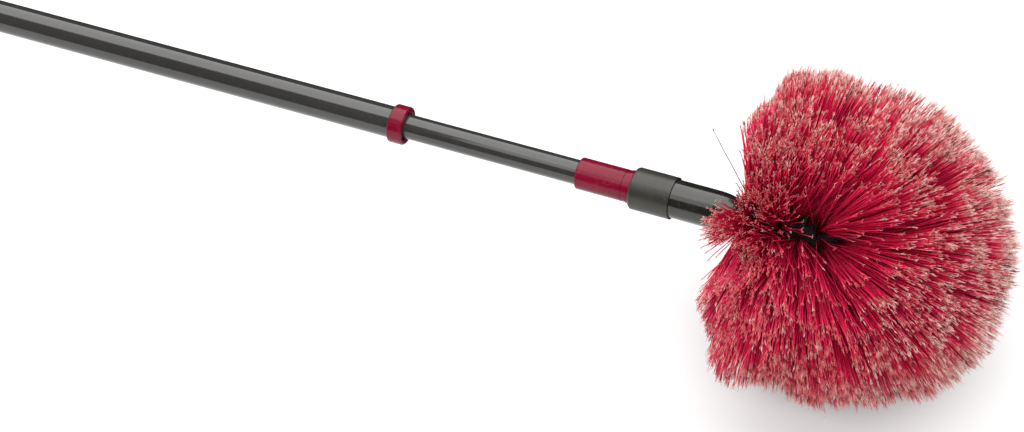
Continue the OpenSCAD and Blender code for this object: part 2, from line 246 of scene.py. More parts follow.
@dataclass
class EffectLibrary:
    """Shader node groups that several finishes use, each built once."""

    fine_detail: float = 4.0
    fine_roughness: float = 0.6
    wide_scale: float = 0.07
    wide_detail: float = 3.0
    wide_roughness: float = 0.5
    speck_scale: float = 4.0
    speck_radius: float = 0.12
    scratch_detail: float = 6.0
    scratch_level: float = 0.5
    scratch_width: float = 0.006

    def _group(
        self, name: str, inputs: dict[str, float], outputs: tuple[str, ...]
    ) -> tuple[bpy.types.NodeTree, NodeBench, bpy.types.Node, bpy.types.Node]:
        """Start a node group with named sockets.

        Args:
            name: Name of the group.
            inputs: Float inputs with their first values.
            outputs: Names of its float outputs.

        Returns:
            The tree, its bench, and its input and output nodes.
        """
        tree = bpy.data.node_groups.new(name, "ShaderNodeTree")
        tree.interface.new_socket("Position", in_out="INPUT", socket_type="NodeSocketVector")
        for label, value in inputs.items():
            tree.interface.new_socket(label, in_out="INPUT", socket_type=FLOAT).default_value = value
        for label in outputs:
            tree.interface.new_socket(label, in_out="OUTPUT", socket_type=FLOAT)
        bench = NodeBench(tree)
        return tree, bench, bench.add("NodeGroupInput"), bench.add("NodeGroupOutput")

    @cached_property
    def grain(self) -> bpy.types.NodeTree:
        """Build the fine uneven skin of a moulded or painted surface.

        Returns:
            The group, which gives a height for a bump and a wide mottle from 0 to 1.
        """
        inputs = {"Scale": 400.0, "Stretch": 1.0}
        tree, bench, given, result = self._group("skin_grain", inputs, ("Height", "Mottle"))
        scale = given.outputs["Scale"]
        stretch = bench.add("CombineXYZ", X=given.outputs["Stretch"], Y=1.0, Z=1.0)
        spot = bench.add("VectorMath", operation="MULTIPLY")
        bench.feed(spot.inputs[0], given.outputs["Position"])
        bench.feed(spot.inputs[1], stretch.outputs[0])
        fine = bench.add("TexNoise", Vector=spot.outputs[0], Scale=scale, Detail=self.fine_detail)
        fine.inputs["Roughness"].default_value = self.fine_roughness
        wide = bench.add("TexNoise", Vector=spot.outputs[0], Detail=self.wide_detail)
        wide.inputs["Roughness"].default_value = self.wide_roughness
        bench.feed(wide.inputs["Scale"], bench.maths("MULTIPLY", scale, self.wide_scale))
        bench.feed(result.inputs["Height"], fine.outputs["Fac"])
        bench.feed(result.inputs["Mottle"], wide.outputs["Fac"])
        return tree

    @cached_property
    def wear(self) -> bpy.types.NodeTree:
        """Build the dust specks and hair scratches.

        Returns:
            The group, which gives one mask.
        """
        inputs = {"Scale": 90.0, "Amount": 0.3}
        tree, bench, given, result = self._group("handling_wear", inputs, ("Mask",))
        position, scale = given.outputs["Position"], given.outputs["Scale"]
        specks = bench.add("TexVoronoi", Vector=position, feature="F1")
        bench.feed(specks.inputs["Scale"], bench.maths("MULTIPLY", scale, self.speck_scale))
        near = bench.maths("LESS_THAN", specks.outputs["Distance"], self.speck_radius)
        lines = bench.add("TexNoise", Vector=position, Scale=scale, Detail=self.scratch_detail)
        edge = bench.maths("SUBTRACT", lines.outputs["Fac"], self.scratch_level)
        thin = bench.maths("LESS_THAN", bench.maths("ABSOLUTE", edge), self.scratch_width)
        both = bench.maths("MAXIMUM", near, thin)
        bench.feed(result.inputs["Mask"], bench.maths("MULTIPLY", both, given.outputs["Amount"]))
        return tree


EFFECTS = EffectLibrary()


@dataclass(frozen=True)
class MouldedFinish:
    """Painted or moulded surface with grain, mottling and light wear, its grain depth in millimetres."""

    name: str
    colour: Colour
    worn: Colour
    roughness: float
    rough_change: float = 0.05
    metallic: float = 0.0
    specular: float = 0.5
    coat: float = 0.0
    coat_roughness: float = 0.03
    grain_scale: float = 400.0
    grain_stretch: float = 1.0
    grain_depth: float = 0.02
    wear: float = 0.25
    wear_rougher: float = 0.3
    mottle: float = 0.25

    def build(self) -> bpy.types.Material:
        """Build the material.

        Returns:
            The finished material.
        """
        material = bpy.data.materials.new(self.name)
        material.use_nodes = True
        bench = NodeBench(material.node_tree)
        shader = material.node_tree.nodes["Principled BSDF"]
        position = bench.add("TexCoord").outputs["Object"]
        skin = bench.add("Group", node_tree=EFFECTS.grain, Position=position, Scale=self.grain_scale)
        skin.inputs["Stretch"].default_value = self.grain_stretch
        marks = bench.add("Group", node_tree=EFFECTS.wear, Position=position, Amount=self.wear)
        darker = tuple(c * (1 - self.mottle) for c in self.colour)
        lighter = tuple(min(1.0, c * (1 + self.mottle)) for c in self.colour)
        base = bench.ramp(skin.outputs["Mottle"], *zip(MOTTLE_ENDS, (darker, lighter)))
        bench.feed(shader.inputs["Base Color"], bench.mix(marks.outputs["Mask"], base, (*self.worn, 1.0)))
        change = bench.maths("MULTIPLY", skin.outputs["Mottle"], 2 * self.rough_change)
        rough = bench.maths("ADD", change, self.roughness - self.rough_change)
        rough = bench.maths("ADD", rough, bench.maths("MULTIPLY", marks.outputs["Mask"], self.wear_rougher))
        bench.feed(shader.inputs["Roughness"], rough)
        shader.inputs["Metallic"].default_value = self.metallic
        shader.inputs["Specular IOR Level"].default_value = self.specular
        shader.inputs["Coat Weight"].default_value = self.coat
        shader.inputs["Coat Roughness"].default_value = self.coat_roughness
        bump = bench.add("Bump", Height=skin.outputs["Height"], Distance=self.grain_depth * MM)
        bench.feed(shader.inputs["Normal"], bump.outputs["Normal"])
        return material


@dataclass(frozen=True)
class BristleFinish:
    """Dyed fibre with a lighter crimson at its root as painted light, crimson along its length and salmon at
    its end, or pale there where it has faded, and more often on the upper side as painted light.

    Places run from 0 at the root to 1 at the tip, and tones from 0, drawn in a near-black painted shade that
    stands for the shade between fibres, to 1, the most faded.
    """

    name: str = "bristle_fibre"
    # Lighter than the crimson: painted light that offsets the shade deep in the ball at the roots
    root_painted_light: Colour = (0.86, 0.020, 0.10)
    crimson: Colour = (0.78, 0.019, 0.097)
    salmon: Colour = (0.70, 0.23, 0.21)
    pale: Colour = (0.80, 0.52, 0.47)
    # Near-black painted shade, which a random share of fibres takes to stand for the shade between fibres
    shade: Colour = (0.10, 0.004, 0.012)
    plain_places: tuple[float, ...] = (0.0, 0.35, 0.93, 1.0)
    faded_places: tuple[float, ...] = (0.35, 0.86, 0.94, 0.97)
    faded_above: float = 0.55
    painted_shade_below: float = 0.12
    mottle_low: float = 0.82
    roughness: float = 0.5
    rough_change: float = 0.1
    specular: float = 0.35
    grain_scale: float = 900.0
    grain_depth: float = 0.02

    def build(self) -> bpy.types.Material:
        """Build the material, which reads how far along its fibre each point is.

        Returns:
            The finished material.
        """
        material = bpy.data.materials.new(self.name)
        material.use_nodes = True
        bench = NodeBench(material.node_tree)
        shader = material.node_tree.nodes["Principled BSDF"]
        along = bench.add("Attribute", attribute_name="along").outputs["Fac"]
        tone = bench.add("Attribute", attribute_name="tone").outputs["Fac"]
        # The roots get the lighter crimson, a painted light against the shade deep in the ball
        colours = (self.root_painted_light, self.crimson, self.crimson, self.salmon)
        plain = bench.ramp(along, *zip(self.plain_places, colours))
        colours = (self.crimson, self.crimson, self.salmon, self.pale)
        faded = bench.ramp(along, *zip(self.faded_places, colours))
        base = bench.mix(bench.maths("GREATER_THAN", tone, self.faded_above), plain, faded)
        # Fibres of the lowest tones are drawn in the painted shade
        base = bench.mix(bench.maths("LESS_THAN", tone, self.painted_shade_below), base, (*self.shade, 1.0))
        position = bench.add("TexCoord").outputs["Object"]
        skin = bench.add("Group", node_tree=EFFECTS.grain, Position=position, Scale=self.grain_scale)
        greys = ((self.mottle_low,) * 3, (1.0,) * 3)
        mottle = bench.ramp(skin.outputs["Mottle"], *zip(MOTTLE_ENDS, greys))
        bench.feed(shader.inputs["Base Color"], bench.mix(1.0, base, mottle, blend="MULTIPLY"))
        change = bench.maths("MULTIPLY", skin.outputs["Mottle"], 2 * self.rough_change)
        rough = bench.maths("ADD", change, self.roughness - self.rough_change)
        bench.feed(shader.inputs["Roughness"], rough)
        shader.inputs["Specular IOR Level"].default_value = self.specular
        bump = bench.add("Bump", Height=skin.outputs["Height"], Distance=self.grain_depth * MM)
        bench.feed(shader.inputs["Normal"], bump.outputs["Normal"])
        return material


FINISHES: dict[Slot, MouldedFinish | BristleFinish] = {
    Slot.POLE_PAINT: MouldedFinish(
        "pole_paint", colour=(0.040, 0.039, 0.037), worn=(0.10, 0.095, 0.09), roughness=0.10,
        rough_change=0.02, metallic=0.35, coat=0.5, coat_roughness=0.02, grain_scale=260.0,
        grain_stretch=0.25, grain_depth=0.012, wear=0.2, mottle=0.08,
    ),
    Slot.CRIMSON: MouldedFinish(
        "crimson_plastic", colour=(0.132, 0.0012, 0.014), worn=(0.28, 0.03, 0.05), roughness=0.2,
        specular=0.28, grain_scale=700.0, mottle=0.14,
    ),
    Slot.BLACK: MouldedFinish(
        "black_plastic", colour=(0.012, 0.012, 0.012), worn=(0.06, 0.06, 0.06), roughness=0.42,
        rough_change=0.06, grain_scale=900.0, wear=0.3,
    ),
    Slot.NYLON: MouldedFinish(
        "nylon", colour=(0.66, 0.63, 0.54), worn=(0.45, 0.42, 0.35), roughness=0.45,
        grain_scale=600.0, wear=0.35, mottle=0.06,
    ),
    Slot.STEEL: MouldedFinish(
        "steel", colour=(0.50, 0.50, 0.51), worn=(0.28, 0.26, 0.24), roughness=0.32,
        rough_change=0.08, metallic=1.0, grain_scale=500.0, grain_stretch=0.1, wear=0.4, mottle=0.1,
    ),
    Slot.SLEEVE: MouldedFinish(
        "sleeve_plastic", colour=(0.023, 0.022, 0.0175), worn=(0.07, 0.07, 0.06), roughness=0.36,
        rough_change=0.06, grain_scale=1100.0, grain_depth=0.05, wear=0.35, mottle=0.16,
    ),
    Slot.NECK: MouldedFinish(
        "neck_plastic", colour=(0.012, 0.011, 0.009), worn=(0.06, 0.056, 0.05), roughness=0.16,
        rough_change=0.04, coat=0.4, coat_roughness=0.05, grain_scale=500.0, wear=0.22, mottle=0.2,
    ),
    Slot.BRISTLE: BristleFinish(),
}


@dataclass
class FinishShop:
    """Hands out every slot's material, built once."""

    made: dict[Slot, bpy.types.Material] = field(default_factory=dict)

    def material(self, slot: Slot) -> bpy.types.Material:
        """Build a slot's material the first time.

        Args:
            slot: The material slot.

        Returns:
            Its material.
        """
        if slot not in self.made:
            self.made[slot] = FINISHES[slot].build()
        return self.made[slot]

    def dress(self, node: str, slot: Slot) -> None:
        """Give a carried-over node its slot's material.

        Args:
            node: Name of the node.
            slot: Its material slot.
        """
        for holder in frame["nodes"][node].material_slots:
            holder.material = self.material(slot)
        LOG.info("dressed %s as %s", node, slot.value)


class MeshMaker:
    """Gathers points and faces in arrays and writes them as one mesh."""

    def __init__(self) -> None:
        """Start with nothing."""
        self.points: list[np.ndarray] = []
        self.faces: list[np.ndarray] = []
        self.values: dict[str, list[np.ndarray]] = {}
        self.count = 0

    def add(self, points: np.ndarray, faces: list[np.ndarray], **values: np.ndarray) -> None:
        """Add points with the faces between them.

        Args:
            points: Points in metres.
            faces: Faces as numbers of these points, one array for each count of sides.
            **values: One number for each point, by the attribute's name.
        """
        self.points.append(points)
        self.faces.extend(f + self.count for f in faces)
        for name, value in values.items():
            self.values.setdefault(name, []).append(value)
        self.count += len(points)

    def write(self, name: str, smooth: bool = True) -> bpy.types.Object:
        """Write the mesh and link its object.

        Args:
            name: Name of the piece.
            smooth: Whether its faces shade smoothly.

        Returns:
            The object.
        """
        mesh = bpy.data.meshes.new(name)
        points = np.concatenate(self.points)
        corners_of = np.concatenate([f.reshape(-1) for f in self.faces]).astype(np.int32)
        totals = np.concatenate([np.full(len(f), f.shape[1], np.int32) for f in self.faces])
        starts = np.concatenate([[0], np.cumsum(totals)[:-1]]).astype(np.int32)
        mesh.vertices.add(len(points))
        mesh.vertices.foreach_set("co", points.astype(np.float32).ravel())
        mesh.loops.add(len(corners_of))
        mesh.loops.foreach_set("vertex_index", corners_of)
        mesh.polygons.add(len(totals))
        mesh.polygons.foreach_set("loop_start", starts)
        mesh.update(calc_edges=True)
        for label, parts in self.values.items():
            layer = mesh.attributes.new(label, "FLOAT", "POINT")
            layer.data.foreach_set("value", np.concatenate(parts).astype(np.float32))
        mesh.polygons.foreach_set("use_smooth", np.full(len(totals), smooth))
        mesh.validate()
        piece = bpy.data.objects.new(name, mesh)
        bpy.context.scene.collection.objects.link(piece)
        return piece


@dataclass
class Core:
    """Blunt ovoid in the middle of the head that holds the tufts, in millimetres and degrees."""

    line: PoleLine
    waist: float = 1085.5
    length: float = 108.0
    radius: float = 19.5
    waist_radius: float = 8.0
    bluntness: float = 2.3
    around: int = 96
    steps: int = 60
    nose_gap: float = 0.4
    boss_radius: float = 3.2
    boss_height: float = 0.7
    boss_sides: int = 14
    # Shares of the boss's radius and height, from its outer foot over the rim into the hole
    boss_profile: tuple[Pair, ...] = (
        (1.0, -1.0), (0.97, 0.5), (0.9, 1.0), (0.74, 1.0), (0.7, 0.3), (0.66, -1.0),
    )

    def __post_init__(self) -> None:
        """Work out where the widest place is and at which angle the waist cuts the core off."""
        self.waist_share = (1 - (self.waist_radius / self.radius) ** self.bluntness) ** (1 / self.bluntness)
        self.half = self.length / (1 + self.waist_share)
        self.belly = self.waist + self.half * self.waist_share
        self.rear_angle = 180 - math.degrees(math.acos(self.waist_share ** (self.bluntness / 2)))

    def outline(self, angle: np.ndarray) -> tuple[np.ndarray, np.ndarray]:
        """Follow the core's outline.

        Args:
            angle: Angles from the nose, in degrees.

        Returns:
            Places along the pole and radii there, in millimetres.
        """
        a = np.radians(angle)
        power = 2 / self.bluntness
        u = self.belly + self.half * np.sign(np.cos(a)) * np.abs(np.cos(a)) ** power
        return u, self.radius * np.abs(np.sin(a)) ** power

    def build(self, seats: np.ndarray, ways: np.ndarray) -> bpy.types.Object:
        """Build the core with a raised rim round each tuft's hole.

        Args:
            seats: Middle of each hole, in metres.
            ways: Outward direction of each hole.

        Returns:
            The core's object.
        """
        maker = MeshMaker()
        u, r = self.outline(np.linspace(self.rear_angle, self.nose_gap, self.steps))
        ring = circle(self.around, self.line.up, self.line.side)
        points = self.line.place(np.repeat(u, self.around), (r[:, None, None] * ring).reshape(-1, 3))
        rear_end = np.arange(self.around)[None, ::-1]
        nose_end = (np.arange(self.around) + (self.steps - 1) * self.around)[None, :]
        maker.add(points, [tube_quads(self.steps, self.around), rear_end, nose_end])
        for seat, way in zip(seats, ways):
            rim = circle(self.boss_sides, *square_pair(way, self.line.along))
            rings = [
                seat + rim * out * self.boss_radius * MM + way * up * self.boss_height * MM
                for out, up in self.boss_profile
            ]
            maker.add(np.concatenate(rings), [tube_quads(len(rings), self.boss_sides)])
        return maker.write("bristle_core")


@dataclass
class Tufts:
    """Every tuft's turn, widest tip angle, own tip angle, seat, outward way and ring number."""

    turn: np.ndarray
    limit: np.ndarray
    tip_angle: np.ndarray
    seat: np.ndarray
    way: np.ndarray
    ring: np.ndarray


@dataclass
class Fibres:
    """Every bristle's root and tip in metres, its ring number and its tone."""

    root: np.ndarray
    tip: np.ndarray
    ring: np.ndarray
    tone: np.ndarray

    def __add__(self, more: "Fibres") -> "Fibres":
        """Return these bristles followed by more of them."""
        return Fibres(*(np.concatenate(both) for both in zip(vars(self).values(), vars(more).values())))


@dataclass
class BristleHead:
    """Ball of split-ended bristles in tufts, in one piece for each ring of tufts in the frame.

    Lengths are in millimetres and angles in degrees. A place by the pole is a place along it, a distance
    from its axis and a turn about it. A tone runs from 0, drawn in the near-black painted shade that stands
    for the shade between fibres, to 1, the most faded. Ways are unit directions from the ball's middle.
    """

    line: PoleLine
    middle: float = 1169.5
    reach: float = 125.5
    seed: int = 11
    ring_seed: int = 111

    # Tufts over the core, and the bundles and fibres in each
    tufts: int = 150
    bundles: int = 14
    fibres: int = 7
    sweep: float = 160.0
    lean_from: float = 100.0
    seat_jitter: float = 1.6
    turn_jitter: float = 4.0
    nose_clear: float = 2.0
    root_power: float = 0.84
    root_last: float = 154.0
    tuft_root: float = 2.1
    root_depth: float = 1.5
    rows: int = 18
    row_sweep: float = 165.0
    rows_per_ring: int = 2
    rings: int = 8

    # Widest tip angle at each turn about the pole
    sweep_by_turn: tuple[Pair, ...] = (
        (-126.0, 150.0), (-96.0, 146.0), (-66.0, 138.0), (-46.0, 124.0), (-31.0, 113.0), (-16.0, 118.0),
        (9.0, 136.0), (54.0, 146.0), (144.0, 150.0),
    )
    limit_slack: float = 2.5

    # How bristles spread within their tuft
    tuft_spread: float = 5.0
    bundle_spread: float = 1.25
    loose_share: float = 0.1
    loose_factor: float = 3.0
    least_sine: float = 0.22

    # How uneven the tips are
    fibre_uneven: float = 3.0
    short_share: float = 0.12
    short_by: Pair = (4.0, 26.0)
    long_share: float = 0.06
    long_by: Pair = (1.0, 6.0)
    bundle_uneven: float = 2.2
    tuft_uneven: float = 1.6

    # Turn and height of the photographed view, and in it each bulge's or dent's angle, reach and width
    judged_from: Pair = (23.18, 52.41)
    bulges: tuple[Triple, ...] = (
        (105.0, 15.0, 13.0), (226.0, 17.0, 10.0), (322.0, 9.0, 12.0), (300.0, 8.0, 9.0), (187.0, -22.0, 9.0),
        (0.0, 5.0, 18.0),
    )
    rim_start: float = 0.45
    rim_width: float = 0.45

    # Parting: its angle from the nose and turn, the lean away from it, and the share that stays
    parting_at: Pair = (83.5, -42.0)
    parting_push: float = 16.0
    parting_widths: Pair = (6.0, 38.0)
    parting_kept: float = 0.22

    # Tones, with paler tips on the upper side as painted light
    bundle_tone: float = 0.45
    fibre_tone: float = 0.55
    least_tone: float = 0.2
    # Share of fibres drawn in the painted shade that stands for the shade between fibres
    painted_shade_share: float = 0.13
    # Turn of the side whose tips are painted paler as if lit
    lit_turn: float = 60.0
    all_fading: float = 0.11
    nose_fading: float = 0.26
    # Paler tips on the upper side and fewer on the lower side: painted light
    upper_painted_light: float = 0.10
    parting_fading: float = -0.39
    parting_reach: float = 70.0

    # Tuft that leans back over the neck, its roots and tips as a place by the pole and a spread
    back_tuft_fibres: int = 160
    back_tuft: tuple[tuple[Triple, Triple], ...] = (
        ((1093.0, 8.0, -53.0), (0.8, 0.6, 5.0)), ((1074.0, 50.0, -53.0), (4.5, 5.0, 11.0)),
    )
    back_tones: Pair = (0.45, 1.0)
    # Root and tip of each loose bristle
    lone_bristles: tuple[tuple[Triple, Triple], ...] = (
        ((1091.0, 8.0, 50.0), (1040.0, 60.5, 54.0)), ((1090.0, 8.0, 30.0), (1072.0, 25.0, 40.0)),
    )

    # One bristle: its stations and their radii, its bow and wobble, and its split ends
    fibre_radius: float = 0.4
    stations: tuple[float, ...] = (0.0, 0.28, 0.52, 0.72, 0.86)
    taper: tuple[float, ...] = (1.15, 1.08, 1.0, 1.0, 0.92, 0.75)
    bow: float = 0.009
    wobble: float = 0.12
    split_count: int = 3
    split_radius: float = 0.2
    split_taper: tuple[float, ...] = (1.3, 1.0, 0.6)
    split_share: float = 0.94
    split_middle: float = 0.97
    split_spread: float = 0.75
    split_uneven: float = 3.0
    split_wobble: float = 0.3
    split_overlap: float = 0.8
    floor_gap: float = 0.3
    # Direction that sets how each strand's section is turned
    skew: Triple = (0.31, 0.52, 0.79)

    def __post_init__(self) -> None:
        """Make the core, start the random draws and number every bristle's tuft and bundle."""
        self.core = Core(self.line)
        self.rng = np.random.default_rng(self.seed)
        self.owner = np.repeat(np.arange(self.tufts), self.bundles * self.fibres)
        self.bundle = np.repeat(np.arange(self.tufts * self.bundles), self.fibres)
        self.count = len(self.owner)

    def side_reach(self, ways: np.ndarray) -> np.ndarray:
        """Return each way's reach from the ball's middle, longer at a bulge and shorter at a dent.

        Args:
            ways: The bristles' ways.

        Returns:
            Reaches in millimetres.
        """
        turn, height = (math.radians(v) for v in self.judged_from)
        right = np.array([math.cos(turn), math.sin(turn), 0.0])
        top = np.array(
            [-math.sin(height) * math.sin(turn), math.sin(height) * math.cos(turn), math.cos(height)]
        )
        across, upward = ways @ right, ways @ top
        angle = np.degrees(np.arctan2(upward, across)) % 360
        rim = np.clip((np.hypot(across, upward) - self.rim_start) / self.rim_width, 0, 1)
        total = np.full(len(ways), self.reach)
        for at, more, width in self.bulges:
            off = (angle - at + 180) % 360 - 180
            total = total + more * rim * np.exp(-((off / width) ** 2))
        return total

    def part(self, ways: np.ndarray, leaning: np.ndarray) -> np.ndarray:
        """Open the parting, from which the bristles lean away on all sides.

        Args:
            ways: The bristles' ways.
            leaning: Which bristles lean away.

        Returns:
            The unit directions after the lean.
        """
        middle = self.line.way(*self.parting_at)
        cosine = np.clip(ways @ middle, -1, 1)
        away = np.degrees(np.arccos(cosine))
        near, far = self.parting_widths
        push = self.parting_push * (1 - np.exp(-((away / near) ** 2))) * np.exp(-((away / far) ** 2))
        side = ways - cosine[:, None] * middle
        side /= np.maximum(np.linalg.norm(side, axis=1), TINY)[:, None]
        a = np.radians(away + push * leaning)
        return np.cos(a)[:, None] * middle + np.sin(a)[:, None] * side

    def tip_paleness(self, ways: np.ndarray) -> np.ndarray:
        """Return how much paler the tips are: most at the nose, more on the upper side as painted light,
        least in the parting.

        Args:
            ways: The bristles' ways.

        Returns:
            Amounts to add to each bristle's tone.
        """
        nose = self.all_fading + self.nose_fading * np.clip(ways @ self.line.along, 0, 1)
        # Painted light: tips paler on the upper side and less pale on the lower side
        upper = self.upper_painted_light * (ways @ self.line.spoke(np.array([self.lit_turn]))[0])
        away = np.degrees(np.arccos(np.clip(ways @ self.line.way(*self.parting_at), -1, 1)))
        return nose + upper + self.parting_fading * np.exp(-((away / self.parting_reach) ** 2))

    def seat_tufts(self) -> Tufts:
        """Spread the tufts evenly over the core.

        Returns:
            The tufts.
        """
        number = np.arange(self.tufts)
        share = (number + 0.5) / self.tufts
        spread = np.degrees(np.arccos(1 - share * (1 - math.cos(math.radians(self.sweep)))))
        spread = spread + self.rng.normal(0, self.seat_jitter, self.tufts)
        spread = np.clip(spread, self.nose_clear, self.sweep)
        turn = (number * GOLDEN_ANGLE + self.rng.normal(0, self.turn_jitter, self.tufts)) % 360
        turns, limits = np.array(self.sweep_by_turn).T
        limit = np.interp(turn, turns, limits, period=360)
        past = np.clip(spread - self.lean_from, 0, None) / (self.sweep - self.lean_from)
        tip_angle = np.minimum(spread, self.lean_from) + past * (limit - self.lean_from)
        root_angle = self.root_last * (spread / self.sweep) ** self.root_power
        spoke = self.line.spoke(turn)
        u, r = self.core.outline(root_angle)
        seat = self.line.place(u, r[:, None] * spoke)
        # The outline's run from a degree behind the seat to a degree ahead gives the way square to it
        ahead_u, ahead_r = self.core.outline(root_angle + 1)
        behind_u, behind_r = self.core.outline(root_angle - 1)
        run = (ahead_u - behind_u)[:, None] * self.line.along + (ahead_r - behind_r)[:, None] * spoke
        way = unit(np.cross(run, np.cross(spoke, run)))
        row = np.clip(((1 - spread / self.row_sweep) * self.rows).astype(int), 0, self.rows - 1)
        ring = np.minimum(row // self.rows_per_ring, self.rings - 1)
        return Tufts(turn, limit, tip_angle, seat, way, ring)

    def _point(self, tufts: Tufts) -> np.ndarray:
        """Choose the way that each bristle points.

        Args:
            tufts: The tufts.

        Returns:
            The bristles' ways.
        """
        loose = np.where(self.rng.random(self.count) < self.loose_share, self.loose_factor, 1.0)[:, None]
        lean = self.rng.normal(0, self.tuft_spread, (self.tufts * self.bundles, 2))[self.bundle]
        lean = lean + self.rng.normal(0, self.bundle_spread, (self.count, 2)) * loose
        tip_angle = tufts.tip_angle[self.owner]
        a = np.radians(np.minimum(tip_angle + lean[:, 0], tufts.limit[self.owner] + self.limit_slack))
        sine = np.maximum(self.least_sine, np.sin(np.radians(tip_angle)))
        turn = tufts.turn[self.owner] + lean[:, 1] / sine
        ways = np.cos(a)[:, None] * self.line.along + np.sin(a)[:, None] * self.line.spoke(turn)
        return self.part(ways, self.rng.random(self.count) > self.parting_kept)

    def _lengths(self, ways: np.ndarray) -> np.ndarray:
        """Choose how far each tip is from the ball's middle.

        Args:
            ways: The bristles' ways.

        Returns:
            Lengths in millimetres.
        """
        short = np.abs(self.rng.normal(0, self.fibre_uneven, self.count))
        for share, by, sign in ((self.short_share, self.short_by, 1), (self.long_share, self.long_by, -1)):
            chosen = self.rng.random(self.count) < share
            short += sign * chosen * self.rng.uniform(*by, self.count)
        short += np.abs(self.rng.normal(0, self.bundle_uneven, self.tufts * self.bundles))[self.bundle]
        return self.side_reach(ways) + self.rng.normal(0, self.tuft_uneven, self.tufts)[self.owner] - short

    def _roots(self, tufts: Tufts) -> np.ndarray:
        """Place each bristle's root in its tuft's hole.

        Args:
            tufts: The tufts.

        Returns:
            Points in metres.
        """
        angle = self.rng.uniform(0, 2 * np.pi, self.count)
        radius = self.tuft_root * np.sqrt(self.rng.random(self.count)) * MM
        first, second = square_pair(tufts.way, self.line.along)
        root = tufts.seat[self.owner] + (radius * np.cos(angle))[:, None] * first[self.owner]
        root = root + (radius * np.sin(angle))[:, None] * second[self.owner]
        return root - tufts.way[self.owner] * self.root_depth * MM

    def _tones(self, ways: np.ndarray) -> np.ndarray:
        """Choose each bristle's tone.

        Args:
            ways: The bristles' ways.

        Returns:
            Tones from 0 to 1.
        """
        raw = self.bundle_tone * self.rng.random(self.tufts * self.bundles)[self.bundle]
        raw = raw + self.fibre_tone * self.rng.random(self.count)
        faded = np.clip(raw + self.tip_paleness(ways), self.least_tone, 1)
        # Fibres below that share get tone 0, the painted shade
        return np.where(raw < self.painted_shade_share, 0, faded)

    def strays(self) -> Fibres:
        """Place the tuft that leans back over the neck and the two long loose bristles.

        Returns:
            Their fibres, all in the ring at the neck.
        """
        ends = []
        for at, spread in self.back_tuft:
            u, out, turn = (self.rng.normal(0, 1, (self.back_tuft_fibres, 3)) * spread + at).T
            ends.append(self.line.place(u, out[:, None] * self.line.spoke(turn)))
        tone = self.rng.uniform(*self.back_tones, self.back_tuft_fibres)
        lone = np.array([[self.line.near(at) for at in bristle] for bristle in self.lone_bristles])
        # The two loose bristles get tone 0, so they are drawn in the near-black painted shade colour
        zeros = np.zeros(len(lone), int)
        return Fibres(*ends, np.zeros(len(tone), int), tone) + Fibres(lone[:, 0], lone[:, 1], zeros, zeros)

    def lay_out(self) -> tuple[Tufts, Fibres]:
        """Place every bristle from its seat in the core to its tip.

        Returns:
            The tufts, and the fibres of all of them and of the strays.
        """
        tufts = self.seat_tufts()
        ways = self._point(tufts)
        length = self._lengths(ways)
        tip = self.line.place(np.array(self.middle), np.zeros(3)) + length[:, None] * MM * ways
        root = self._roots(tufts)
        tone = self._tones(ways)
        return tufts, Fibres(root, tip, tufts.ring[self.owner], tone) + self.strays()

    def _strands(
        self, maker: MeshMaker, path: np.ndarray, radius: np.ndarray, along: np.ndarray, tone: np.ndarray
    ) -> None:
        """Add three-sided strands to a mesh, none of them under the floor.

        Args:
            maker: Mesh that they go in.
            path: Points of each strand, in metres, as strands by stations by three.
            radius: Radius at each station, in metres.
            along: How far along its fibre each station is, from 0 to 1.
            tone: One number from 0 to 1 for each strand.
        """
        count, stations = path.shape[:2]
        way = unit(path[:, -1] - path[:, 0])
        rim = circle(STRAND_SIDES, *square_pair(way, np.array(self.skew)))
        points = path[:, :, None] + radius[None, :, None, None] * rim[:, None]
        points[..., 2] = np.maximum(points[..., 2], self.floor_gap * MM)
        base = np.arange(count)[:, None, None] * stations * STRAND_SIDES
        quads = tube_quads(stations, STRAND_SIDES)[None] + base
        last = (stations - 1) * STRAND_SIDES
        ends = np.array([[0, 2, 1], [last, last + 1, last + 2]])[None] + base
        shape = (count, stations, STRAND_SIDES)
        places = np.broadcast_to(along[None, :, None], shape).reshape(-1)
        tones = np.broadcast_to(tone[:, None, None], shape).reshape(-1)
        faces = [quads.reshape(-1, 4), ends.reshape(-1, 3)]
        maker.add(points.reshape(-1, 3), faces, along=places, tone=tones)

    def build_ring(self, number: int, laid: Fibres) -> bpy.types.Object:
        """Build the bristles of one ring.

        Args:
            number: Ring from 0 at the neck to 7 at the nose.
            laid: Every bristle of the head.

        Returns:
            The ring's object.
        """
        rng = np.random.default_rng(self.ring_seed + number)
        mine = laid.ring == number
        root, tip, tone = laid.root[mine], laid.tip[mine], laid.tone[mine]
        count = len(root)
        span = tip - root
        length = np.linalg.norm(span, axis=1)[:, None]
        way = span / length
        side = unit(np.cross(way, rng.normal(0, 1, (count, 3))))
        bow = rng.normal(0, self.bow, count)[:, None] * length
        share = np.array([*self.stations, self.split_share])

        def at(s: float) -> np.ndarray:
            """Return each fibre's point at a share of its length."""
            return root + span * s + side * bow * math.sin(math.pi * s)

        path = np.stack([at(s) for s in share], 1)
        path[:, 1:] += rng.normal(0, self.wobble * MM, (count, len(share) - 1, 3))
        maker = MeshMaker()
        self._strands(maker, path, self.fibre_radius * MM * np.array(self.taper), share, tone)
        split_radius = self.split_radius * MM * np.array(self.split_taper)
        split_along = np.array([self.split_share, self.split_middle, 1.0])
        start = path[:, -1] - way * self.split_overlap * MM
        for _ in range(self.split_count):
            stray = rng.normal(0, self.split_spread * MM, (count, 3))
            end = at(1.0) + stray - way * rng.uniform(0, self.split_uneven, (count, 1)) * MM
            bend = (path[:, -1] + end) / 2 + rng.normal(0, self.split_wobble * MM, (count, 3))
            self._strands(maker, np.stack([start, bend, end], 1), split_radius, split_along, tone)
        return maker.write(f"bristles_ring_{number + 1}")

